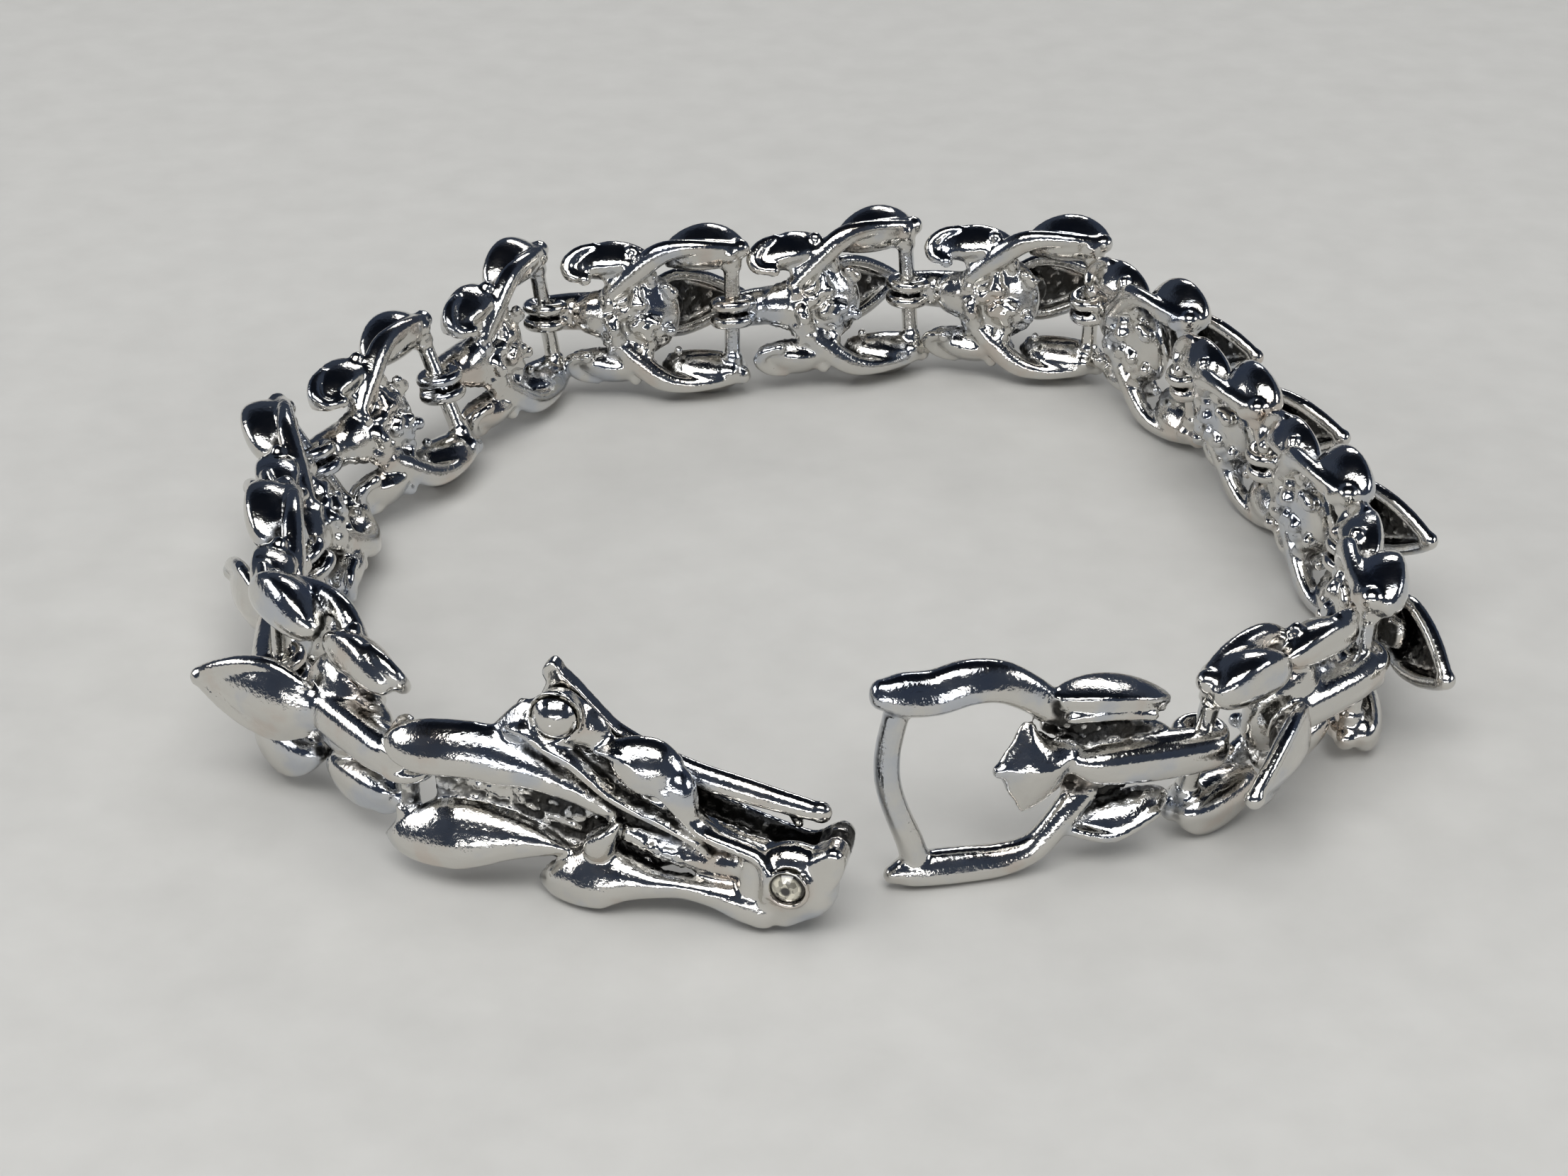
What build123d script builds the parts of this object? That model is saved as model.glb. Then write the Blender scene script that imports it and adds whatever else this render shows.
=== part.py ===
from build123d import *
from math import cos, sin, radians
import os

# The band, in mm
PITCH = 12.79
BAR_R = 0.5
EYE_HOLE_R = 0.9
EYE_R = 1.45
TONGUE_HALF = 1.1
MID_Z = 6.0

# Where the band starts and how each piece lies, in degrees from +X
START_X = -19.4
START_Y = -29.88
HEAD_HEADING = 167.0
TAIL_HEADING = -167.5
LINK_HEADINGS = [128.5, 92, 95.5, 58.5, 62, 2, 17.5, -11, -64.5, -74, -77, -97, -140]
LINK_ROLLS = [3, -14, -29, -24, -10, -9, -13, -4, 9, 18, 9, -4, -12]
FIRST_LIFT = 0.8
TAIL_ROLL = -5

# One link
RIDGE_TOP = 1.95
RIDGE_EAVES = 1.0
RIDGE_END = 6.5
CORE_HALF = 2.6
HOOD_HALF = 2.4
HOOD_TIP_X = 13.9
HOOD_TIP_Y = 4.9
LEAF_WIDTH = 3.8
LEAF_THICK = 1.8
SMALL_WIDTH = 3.2
SMALL_THICK = 1.9
LUG_R = 0.85

# The head, seen from outside with the snout to the right
PLATE_BACK = -1.4
PLATE_SPLIT = -0.6
PLATE_FACE = 1.6
SLOT_HALF = 0.6
LEVER_HALF = 0.48
PIVOT_X = 8.66
PIVOT_Z = 11.35
PIN_R = 0.42
PIN_CLEAR = 0.05
SEAT_CLEAR = 0.02
DOME_R = 1.15
DOME_RISE = 0.7
STONE_X = 20.7
STONE_Z = 3.36
STONE_R = 0.88
STONE_CLEAR = 0.03
STONE_SIDES = 16
SOCKET_FLOOR = 1.75
SNOUT_FACE = 3.0

# The stirrup at the tail, its outlines drawn from the ground up
STIRRUP_BACK = -0.9
STIRRUP_FACE = 0.9


def plate(points, low, high):
    """A flat solid drawn in X and Z, filling y from low to high."""
    face = Plane.XZ * make_face(Polyline(*points, close=True))
    return Pos(0, low, 0) * extrude(face, amount=high - low, dir=(0, 1, 0))


def prism(points, half):
    """A solid drawn in X and Y, filling z from -half to half."""
    face = make_face(Polyline(*points, close=True))
    return Pos(0, 0, -half) * extrude(face, amount=2 * half)


def upright(x, y, radius, low, high):
    """A round bar along Z."""
    return Pos(x, y, (low + high) / 2) * Cylinder(radius, high - low)


def petal(root, tip, width, thick, drop):
    """A pointed oval from root to tip, lying outward, with a face domed by drop."""
    along = Vector(*tip) - Vector(*root)
    length = along.length
    reach = along.normalized()
    outward = (Vector(0, 1, 0) - reach * reach.Y).normalized()
    half = width / 2
    near = ThreePointArc((0, 0), (length / 2, half), (length, 0))
    far = ThreePointArc((length, 0), (length / 2, -half), (0, 0))
    body = extrude(make_face(near + far), amount=thick)
    dome_r = (half * half + drop * drop) / (2 * drop)
    dome = Pos(length / 2, 0, thick - dome_r) * Rot(0, 90, 0) * Cylinder(dome_r, length + 2)
    return Plane(origin=root, x_dir=reach, z_dir=outward) * (body & dome)


def tongue(end):
    """The ridge bar and the eye that turns on the neighbour's crossbar."""
    bottom = -EYE_R + 0.05
    side = prism([(0.3, bottom), (end, bottom), (end, RIDGE_TOP), (2.4, RIDGE_TOP), (0.2, 1.42)], TONGUE_HALF)
    eye = upright(0, 0, EYE_R, -TONGUE_HALF, TONGUE_HALF)
    roof = [(-TONGUE_HALF, -2), (-TONGUE_HALF, RIDGE_EAVES), (0, RIDGE_TOP), (TONGUE_HALF, RIDGE_EAVES), (TONGUE_HALF, -2)]
    section = Plane.YZ * make_face(Polyline(*[(y, z) for z, y in roof], close=True))
    shell = Pos(-2, 0, 0) * extrude(section, amount=end + 2, dir=(1, 0, 0))
    return (side + eye) & shell


def hood():
    """The pointed hood over the joint."""
    side = prism([(6.0, 0.9), (6.3, 2.1), (9.4, 3.5), (HOOD_TIP_X, HOOD_TIP_Y), (12.7, 3.6), (10.6, 2.4), (9.2, 1.2)],
                 HOOD_HALF)
    outline = plate([(5.9, -1.3), (7.8, -2.2), (10.0, -HOOD_HALF), (12.2, -1.5), (HOOD_TIP_X, 0.0),
                     (12.2, 1.5), (10.0, HOOD_HALF), (7.8, 2.2), (5.9, 1.3)], 0, 7)
    return side & outline


def small_leaves(z_root, z_tip):
    """The two leaves beside the ridge, pointing back to the eye."""
    low = petal((7.3, -0.6, -z_tip), (1.95, -0.8, -z_root), SMALL_WIDTH, SMALL_THICK, 0.7)
    high = petal((7.3, -0.6, z_tip), (1.95, -0.8, z_root), SMALL_WIDTH, SMALL_THICK, 0.7)
    return low + high


def build_link():
    """One link, its eye at the origin and its crossbar one pitch along X."""
    core = Pos(6.8, 0.1, 0) * Box(5.2, 2.6, 2 * CORE_HALF)
    body = core + tongue(RIDGE_END) + hood() + small_leaves(3.3, 3.9)
    for side in (-1, 1):
        body += petal((5.6, -0.6, side * 3.5), (13.9, 0.4, side * 4.45), LEAF_WIDTH, LEAF_THICK, 0.8)
        body += upright(PITCH - 0.15, 0.15, LUG_R, min(side * 3.0, side * 4.9), max(side * 3.0, side * 4.9))
    body += upright(PITCH, 0, BAR_R, -4.2, 4.2)
    return body - upright(0, 0, EYE_HOLE_R, -2, 2)


def facing(points):
    """Turns points seen from outside with the snout to the right into the piece's own X."""
    return [(-x, z) for x, z in points]


def relief(row):
    """One raised form on the head, from a row of the table."""
    x_root, z_root, y_root, x_tip, z_tip, y_tip, width, thick, drop = row
    return petal((-x_root, y_root, z_root), (-x_tip, y_tip, z_tip), width, thick, drop)


# The back wall is lower than the face, with a small ear for the rivet
BACK_OUTLINE = [
    (1.5, 8.2), (2.4, 8.6), (5.2, 8.6), (6.8, 9.4), (7.8, 11.4), (8.25, 11.95), (9.05, 11.95), (9.5, 11.4),
    (10.6, 9.4), (12.2, 8.4), (14.0, 7.6), (15.0, 6.8), (16.4, 6.1), (18.4, 5.5), (20.0, 5.0), (21.2, 4.7),
    (21.8, 5.2), (22.2, 6.0), (23.0, 6.2), (23.5, 5.4), (23.3, 4.2), (22.6, 2.7), (21.5, 0.9), (20.6, 0.3),
    (19.0, 0.9), (17.4, 1.8), (14.5, 2.2), (12.0, 1.8), (9.7, 1.4), (8.0, 2.4), (5.0, 2.5), (2.8, 2.7),
    (1.5, 3.9)]
HEAD_OUTLINE = [
    (1.5, 9.0), (2.4, 9.6), (5.2, 9.8), (6.6, 10.9), (7.4, 12.1), (8.2, 12.6), (9.2, 12.6), (10.0, 12.0),
    (10.7, 10.9), (11.6, 10.1), (13.0, 10.2), (14.4, 9.6), (15.2, 8.5), (14.9, 7.2), (16.4, 6.3), (18.4, 5.7),
    (20.0, 5.2), (21.2, 4.9), (21.8, 5.3), (22.2, 6.1), (23.0, 6.3), (23.6, 5.6), (23.6, 4.3), (23.0, 2.7),
    (21.9, 0.7), (20.6, 0.0), (19.0, 0.7), (17.4, 1.6), (14.5, 2.0), (12.0, 1.6), (9.7, 1.0), (8.0, 2.2),
    (5.0, 2.3), (2.8, 2.5), (1.5, 3.8)]
SLOT_OUTLINE = [
    (6.7, 15.0), (21.9, 15.0), (21.9, 7.4), (21.75, 4.6), (20.9, 4.0), (17.5, 4.7), (14.3, 5.5), (12.5, 6.4),
    (10.5, 7.4), (7.9, 9.0), (6.7, 10.0)]
LEVER_OUTLINE = [
    (7.2, 12.3), (7.3, 12.8), (7.6, 13.1), (7.8, 13.0), (8.1, 13.5), (8.6, 13.1), (9.3, 12.4), (10.5, 11.0),
    (11.6, 9.7), (13.0, 8.8), (15.2, 7.8), (21.6, 7.0), (21.6, 6.2), (15.1, 6.7), (12.4, 7.9), (9.9, 9.8),
    (8.66, 9.8), (7.4, 10.4)]
# Root x, z and y, tip x, z and y, then width, thickness and the drop of the domed face
HEAD_RELIEF = [
    (10.4, 9.2, 0.5, -0.6, 9.4, 0.1, 2.8, 2.4, 0.9),
    (12.0, 6.8, 0.6, 1.0, 8.4, 0.3, 1.8, 2.3, 0.7),
    (16.9, 4.9, 1.0, 5.9, 10.4, 0.8, 1.5, 1.9, 0.5),
    (17.3, 5.9, 1.0, 10.8, 9.9, 1.0, 1.5, 1.8, 0.5),
    (9.9, 3.6, 0.2, -0.5, 3.3, -0.4, 3.3, 2.6, 1.0),
    (14.6, 4.6, 0.9, 7.9, 2.2, 1.0, 2.7, 2.2, 0.8),
    (11.0, 9.0, 0.8, 15.4, 8.9, 0.8, 2.6, 2.1, 0.8),
    (16.3, 6.0, 1.0, 17.2, 1.9, 1.0, 1.9, 2.0, 0.6)]
SNOUT_OUTLINE = [
    (17.2, 5.4), (20.0, 4.95), (21.2, 4.7), (22.6, 5.2), (23.2, 4.2), (22.7, 2.9), (21.6, 1.7), (20.4, 1.2),
    (18.8, 1.6), (17.4, 2.2)]


def stone_seat():
    """Puts things at the eye: turned so that their Z faces outward."""
    return Plane(origin=(-STONE_X, 0, STONE_Z), x_dir=(-1, 0, 0), z_dir=(0, 1, 0))


def pivot_seat():
    """Puts things on the hinge: turned so that their Z faces outward."""
    return Plane(origin=(-PIVOT_X, 0, PIVOT_Z), x_dir=(-1, 0, 0), z_dir=(0, 1, 0))


def build_head():
    """The cast head with its crossbar at the origin."""
    body = plate(facing(HEAD_OUTLINE), PLATE_SPLIT, PLATE_FACE)
    body += plate(facing(BACK_OUTLINE), PLATE_BACK, PLATE_SPLIT)
    for row in HEAD_RELIEF:
        body += relief(row)
    snout = plate(facing(SNOUT_OUTLINE), 1.0, SNOUT_FACE)
    body += snout
    body += pivot_seat() * Pos(0, 0, 1.5) * Cylinder(1.45, 1.6)
    body += upright(0.0, 0, BAR_R, 3.4, 10.0)
    body += upright(0.1, 0.1, LUG_R, 2.9, 3.8) + upright(0.1, 0.1, LUG_R, 8.6, 9.9)
    body -= plate(facing(SLOT_OUTLINE), -SLOT_HALF, SLOT_HALF)
    body -= pivot_seat() * Cylinder(PIN_R + SEAT_CLEAR, 8)
    body -= pivot_seat() * Pos(0, 0, 2.9) * Cylinder(DOME_R + 0.1, 1.6)
    socket = Pos(0, 0, SOCKET_FLOOR + 1.5) * Cylinder(STONE_R + STONE_CLEAR, 3)
    return body - stone_seat() * socket


def build_pin():
    """The rivet: a shank and a domed head sunk in its socket."""
    seat = 2.1
    ball_r = (DOME_R * DOME_R + DOME_RISE * DOME_RISE) / (2 * DOME_RISE)
    cap = Pos(0, 0, seat + DOME_RISE - ball_r) * Sphere(ball_r)
    cap &= Pos(0, 0, seat + DOME_RISE / 2) * Cylinder(DOME_R, DOME_RISE)
    shank = Pos(0, 0, (seat + 0.1 + PLATE_BACK) / 2) * Cylinder(PIN_R, seat + 0.1 - PLATE_BACK)
    return pivot_seat() * (shank + cap)


def build_lever():
    """The jaw: its arm closes the hook and its tab stands behind the rivet."""
    arm = plate(facing(LEVER_OUTLINE), -LEVER_HALF, LEVER_HALF)
    tip = Plane(origin=(-21.85, 0, 6.75), x_dir=(-1, 0, 0), z_dir=(0, 1, 0)) * Cylinder(0.45, 2 * LEVER_HALF)
    return arm + tip - pivot_seat() * Cylinder(PIN_R + PIN_CLEAR, 4)


def build_stone():
    """The round stone: a pointed back, a girdle and a flat table."""
    girdle = SOCKET_FLOOR + 0.75
    rim = RegularPolygon(STONE_R, STONE_SIDES)
    table = RegularPolygon(STONE_R * 0.55, STONE_SIDES)
    back = RegularPolygon(STONE_R * 0.35, STONE_SIDES)
    crown = loft([Pos(0, 0, girdle + 0.1) * rim, Pos(0, 0, girdle + 0.45) * table])
    band = Pos(0, 0, girdle) * extrude(rim, amount=0.1)
    base = loft([Pos(0, 0, SOCKET_FLOOR) * back, Pos(0, 0, girdle) * rim])
    return stone_seat() * (base + band + crown)


CREST_OUTLINE = [
    (5.0, -1.3), (7.0, -1.9), (8.6, -2.4), (9.8, -2.3), (10.75, 0.3), (9.8, 2.4), (8.6, 2.5), (7.0, 1.9), (5.0, 1.3)]
STIRRUP_OUTER = [
    (6.2, 8.0), (7.3, 9.3), (9.2, 11.5), (11.4, 12.6), (13.9, 12.7), (16.5, 12.5), (16.7, 11.8), (15.9, 10.8),
    (16.5, 9.0), (17.0, 6.3), (16.5, 3.6), (15.9, 1.9), (16.6, 0.9), (16.4, 0.2), (13.6, 0.0), (10.8, 0.3),
    (8.6, 1.8), (7.2, 3.4), (6.2, 4.4)]
STIRRUP_INNER = [
    (8.6, 8.2), (9.6, 9.4), (11.5, 10.4), (13.9, 10.5), (14.9, 10.1), (15.45, 8.6), (15.95, 6.3), (15.45, 4.0),
    (15.0, 2.4), (14.0, 1.6), (11.5, 1.6), (9.9, 2.6), (8.6, 4.2)]


def build_tail():
    """The end piece with its eye at the origin and the stirrup along X."""
    core = Pos(6.3, 0.1, 0) * Box(4.6, 2.6, 2 * CORE_HALF)
    crest = plate(CREST_OUTLINE, 0, 4) & prism([(4.8, 0.2), (5.0, 1.6), (8.6, 2.6), (10.9, 1.7), (9.6, 0.2)], 4)
    body = core + tongue(RIDGE_END) + crest + small_leaves(3.4, 4.1)
    ring = plate(STIRRUP_OUTER, STIRRUP_BACK, STIRRUP_FACE) - plate(STIRRUP_INNER, -3, 3)
    body += Pos(0, 0, -MID_Z) * ring
    return body - upright(0, 0, EYE_HOLE_R, -2, 2)


def settle(piece, x, y, heading, roll=0.0, centre=0.0):
    """Lays a piece at its joint, turned to its heading, resting on the ground."""
    turned = Pos(x, y, centre) * Rot(0, 0, heading) * Rot(roll, 0, 0) * piece
    return Pos(0, 0, -turned.bounding_box().min.Z) * turned


def main():
    os.makedirs("parts", exist_ok=True)
    pieces = {}
    head_parts = [("dragon_head", build_head()), ("eye_stone", build_stone()),
                  ("gate_lever", build_lever()), ("hinge_pin", build_pin())]
    for name, solid in head_parts:
        pieces[name] = Pos(START_X, START_Y, 0) * Rot(0, 0, HEAD_HEADING) * solid
    link = build_link()
    x, y = START_X, START_Y
    for number, (heading, roll) in enumerate(zip(LINK_HEADINGS, LINK_ROLLS), start=1):
        lift = FIRST_LIFT if number == 1 else 0.0
        pieces[f"link_{number:02d}"] = Pos(0, 0, lift) * settle(link, x, y, heading, roll, MID_Z)
        x += PITCH * cos(radians(heading))
        y += PITCH * sin(radians(heading))
    pieces["tail_ring"] = settle(build_tail(), x, y, TAIL_HEADING, TAIL_ROLL, MID_Z)
    boxes = [solid.bounding_box() for solid in pieces.values()]
    middle_x = (min(box.min.X for box in boxes) + max(box.max.X for box in boxes)) / 2
    middle_y = (min(box.min.Y for box in boxes) + max(box.max.Y for box in boxes)) / 2
    for name, solid in pieces.items():
        export_step(Pos(-middle_x, -middle_y, 0) * solid, f"parts/{name}.step")


main()
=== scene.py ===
import bpy
import bmesh
import random
from math import cos, pi, radians, sin, sqrt
from mathutils import Matrix, Vector, noise
from mathutils.bvhtree import BVHTree
from mathutils.kdtree import KDTree


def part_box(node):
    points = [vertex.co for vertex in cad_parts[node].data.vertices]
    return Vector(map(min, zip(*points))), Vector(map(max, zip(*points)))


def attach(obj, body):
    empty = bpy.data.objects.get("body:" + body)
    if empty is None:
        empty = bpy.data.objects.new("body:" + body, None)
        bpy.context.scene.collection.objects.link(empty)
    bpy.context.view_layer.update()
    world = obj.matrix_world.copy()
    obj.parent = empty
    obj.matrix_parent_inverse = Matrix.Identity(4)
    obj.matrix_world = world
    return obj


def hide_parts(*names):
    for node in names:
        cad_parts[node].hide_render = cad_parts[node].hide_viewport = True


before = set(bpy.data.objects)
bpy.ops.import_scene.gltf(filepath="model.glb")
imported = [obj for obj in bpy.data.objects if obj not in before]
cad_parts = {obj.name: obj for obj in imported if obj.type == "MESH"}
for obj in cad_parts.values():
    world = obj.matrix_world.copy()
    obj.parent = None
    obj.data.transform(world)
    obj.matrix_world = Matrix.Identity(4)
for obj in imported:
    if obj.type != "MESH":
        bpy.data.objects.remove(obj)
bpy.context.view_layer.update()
print("frame loaded")

# Lengths are in mm until a piece is finished; its mesh is then brought to metres and laid in place.
metresPerMm = 0.001
floorGap = 0.02                      # mm that the lowest points of a casting stay above the floor

band = {
    "shift": (-2.2725, 0.4656),      # from the chain's own start to the shared frame
    "start": (-19.4, -29.88),
    "pitch": 12.79,
    "headHeading": 167.0,
    "tailHeading": -167.5,
    "tailRoll": -5,
    "tailRise": 6.056,
    # Degrees for each link, and the height in mm of its joint where its solid rests.
    "headings": [128.5, 92, 95.5, 58.5, 62, 2, 17.5, -11, -64.5, -74, -77, -97, -140],
    "rolls": [3, -14, -29, -24, -10, -9, -13, -4, 9, 18, 9, -4, -12],
    "rises": [6.692, 5.963, 5.696, 5.823, 5.974, 5.973, 5.968, 5.941, 5.831, 5.621, 5.831, 5.941, 5.972],
}


# Shaping tools

def smoothRows(rows, steps):                       # runs one smooth curve through rows of numbers
    rows = [tuple(map(float, row)) for row in rows]
    ends = [rows[0]] + rows + [rows[-1]]
    out = []
    for a, b, c, d in zip(ends, ends[1:], ends[2:], ends[3:]):
        for k in range(steps):
            t = k / steps
            out.append(tuple(0.5 * (2 * q + (r - p) * t + (2 * p - 5 * q + 4 * r - s) * t * t
                                    + (3 * q - p - 3 * r + s) * t ** 3)
                             for p, q, r, s in zip(a, b, c, d)))
    return out + [rows[-1]]


def axesMatrix(xAxis, yAxis, zAxis, place):
    columns = [Vector(xAxis), Vector(yAxis), Vector(zAxis), Vector(place)]
    return Matrix([[column[i] for column in columns] for i in range(3)] + [[0, 0, 0, 1]])


# Three rings round off each end of a swept bar: how far out, as a share of its size, and how wide.
roundedEnd = ((0.97, 0.2), (0.8, 0.6), (0.45, 0.89))
thinnest = 0.02                      # mm, the least half width of a ring


# A swept bar. Each row: x, y, z, half width, half thickness toward facing.
def addStrand(bm, rows, facing=(0, 1, 0), sides=16, steps=4, square=1.0):
    rows = smoothRows(rows, steps)
    facing = Vector(facing)
    last = len(rows) - 1
    stations = []
    for i, (x, y, z, across, thick) in enumerate(rows):
        ahead = (Vector(rows[min(i + 1, last)][:3]) - Vector(rows[max(i - 1, 0)][:3])).normalized()
        stations.append((Vector((x, y, z)), ahead, across, thick))
    start, finish = stations[0], stations[-1]
    size = min(start[2], start[3])
    lead = [(start[0] - start[1] * size * a, start[1], start[2] * b, start[3] * b) for a, b in roundedEnd]
    size = min(finish[2], finish[3])
    trail = [(finish[0] + finish[1] * size * a, finish[1], finish[2] * b, finish[3] * b)
             for a, b in reversed(roundedEnd)]
    old = None
    for here, ahead, across, thick in lead + stations + trail:
        side = facing.cross(ahead).normalized()
        out = ahead.cross(side)
        place = axesMatrix(side * max(across, thinnest), out * max(thick, thinnest), ahead, here)
        if old is None:
            ring = bmesh.ops.create_circle(bm, cap_ends=True, segments=sides, radius=1)["verts"]
            for vert in ring:
                for k in (0, 1):
                    vert.co[k] = abs(vert.co[k]) ** square * (1 if vert.co[k] > 0 else -1)
            bmesh.ops.transform(bm, matrix=place, verts=ring)
            edges = list({edge for vert in ring for edge in vert.link_edges})
        else:
            grown = bmesh.ops.extrude_edge_only(bm, edges=edges)["geom"]
            ring = [item for item in grown if isinstance(item, bmesh.types.BMVert)]
            edges = [item for item in grown if isinstance(item, bmesh.types.BMEdge) and
                     item.verts[0] in ring and item.verts[1] in ring]
            bmesh.ops.transform(bm, matrix=place @ old.inverted(), verts=ring)
        old = place
    bmesh.ops.holes_fill(bm, edges=edges, sides=sides + 1)


# A pointed oval from root to tip. Crown rises toward facing, belly drops away from it.
def addPetal(bm, root, tip, facing, width, crown, belly, arch=0.0, point=0.3, lean=0.0, tent=0.0):
    root, tip = Vector(root), Vector(tip)
    along = (tip - root).normalized()
    length = (tip - root).length
    side = Vector(facing).cross(along).normalized()
    out = along.cross(side)
    ball = bmesh.ops.create_uvsphere(bm, u_segments=28, v_segments=16, radius=1)["verts"]
    for vert in ball:
        run = vert.co.z
        ring = sqrt(max(0.0, 1 - run * run))
        taper = ring ** point if ring > 1e-6 else 0.0
        across = vert.co.x * taper
        lift = vert.co.y * taper
        if tent and lift > 0:
            lift = lift * (1 - tent) + tent * max(0.0, ring * taper - abs(across))
        high = lift * (crown if lift > 0 else belly) + arch * (1 - run * run)
        vert.co = Vector(((run + lean * (1 - run * run)) * length / 2, across * width / 2, high))
    bmesh.ops.transform(bm, matrix=axesMatrix(along, side, out, (root + tip) / 2), verts=ball)


def addBead(bm, place, radii):
    if not hasattr(radii, "__len__"):
        radii = (radii, radii, radii)
    matrix = Matrix.Translation(place) @ Matrix.Diagonal((*radii, 1))
    bmesh.ops.create_uvsphere(bm, u_segments=20, v_segments=12, radius=1, matrix=matrix)


# A round ring about an axis through place.
def addRing(bm, place, axis, major, minor):
    axis = Vector(axis).normalized()
    side = axis.orthogonal().normalized()
    matrix = axesMatrix(side, axis, side.cross(axis), Vector(place) + side * major)
    circle = bmesh.ops.create_circle(bm, cap_ends=False, segments=14, radius=minor, matrix=matrix)["verts"]
    edges = list({edge for vert in circle for edge in vert.link_edges})
    bmesh.ops.spin(bm, geom=circle + edges, cent=place, axis=axis, dvec=(0, 0, 0), angle=2 * pi, steps=32,
                   use_merge=True, use_duplicate=False)


# A flat piece drawn in x and z, filling y from low to high.
def addPlate(bm, outline, low, high, bevel=0.0):
    corners = [bm.verts.new((x, low, z)) for x, z in outline]
    face = bm.faces.new(corners)
    grown = bmesh.ops.extrude_face_region(bm, geom=[face])["geom"]
    far = [item for item in grown if isinstance(item, bmesh.types.BMVert)]
    bmesh.ops.translate(bm, vec=(0, high - low, 0), verts=far)
    whole = corners + far
    faces = list({face for vert in whole for face in vert.link_faces})
    bmesh.ops.recalc_face_normals(bm, faces=faces)
    if bevel:
        edges = list({edge for vert in whole for edge in vert.link_edges})
        bmesh.ops.bevel(bm, geom=edges, offset=bevel, offset_type="OFFSET", affect="EDGES", segments=3,
                        profile=0.5, material=-1, clamp_overlap=True)


def addRod(bm, start, finish, radius, sides=32, flare=1.0):
    start, finish = Vector(start), Vector(finish)
    axis = (finish - start).normalized()
    side = axis.orthogonal().normalized()
    matrix = axesMatrix(side, axis.cross(side), axis, (start + finish) / 2)
    bmesh.ops.create_cone(bm, cap_ends=True, segments=sides, radius1=radius, radius2=radius * flare,
                          depth=(finish - start).length, matrix=matrix)


def evaluated(holder):
    bpy.context.view_layer.update()
    graph = bpy.context.evaluated_depsgraph_get()
    return bpy.data.meshes.new_from_object(holder.evaluated_get(graph))


def holderOf(bm, name):
    mesh = bpy.data.meshes.new(name)
    bmesh.ops.recalc_face_normals(bm, faces=bm.faces)
    bm.to_mesh(mesh)
    bm.free()
    holder = bpy.data.objects.new(name, mesh)
    bpy.context.scene.collection.objects.link(holder)
    return holder


# Casts the forms into one skin, cuts what is open, and softens every seam.
def fuse(bm, name, voxel, cutters=(), rounds=2):
    holder = holderOf(bm, name)
    cast = holder.modifiers.new("cast", "REMESH")
    cast.mode = "VOXEL"
    cast.voxel_size = voxel
    tools = []
    for number, cutter in enumerate(cutters):
        tool = holderOf(cutter, name + "Cutter")
        cut = holder.modifiers.new("cut" + str(number), "BOOLEAN")
        cut.operation = "DIFFERENCE"
        cut.solver = "EXACT"
        cut.object = tool
        tools.append(tool)
    if cutters:
        again = holder.modifiers.new("again", "REMESH")
        again.mode = "VOXEL"
        again.voxel_size = voxel
    mesh = evaluated(holder)
    for gone in [holder] + tools:
        bpy.data.objects.remove(gone)
    soft = bmesh.new()
    soft.from_mesh(mesh)
    for _ in range(rounds):
        bmesh.ops.smooth_vert(soft, verts=soft.verts, factor=0.5, use_axis_x=True, use_axis_y=True,
                              use_axis_z=True)
    soft.to_mesh(mesh)
    soft.free()
    return mesh


def softStep(low, high, value):
    t = min(1.0, max(0.0, (value - low) / (high - low)))
    return t * t * (3 - 2 * t)


# How recesses are found and roughened. Lengths are in mm, the rest are shares.
recess = {
    "rays": 24,
    "lift": 0.08,                    # the rays start this far off the skin
    "lean": 1.15,                    # how far the fan of rays leans along the normal
    "farLoss": 0.6,                  # what a hit at full reach counts less than a near one
    "spreadRounds": 2,
    "roughRange": (0.22, 0.5),       # depths between which the grain comes in
    "grain": 0.17,
    "coarse": 2.1,                   # coarse and fine noise, waves per mm
    "fine": 4.3,
    "fineShare": 0.6,
    "peakFrom": 0.2,                 # grains that stand higher than this get less of the painted shade, so they show bright
    "peakShadeLift": 1.1,
}
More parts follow.
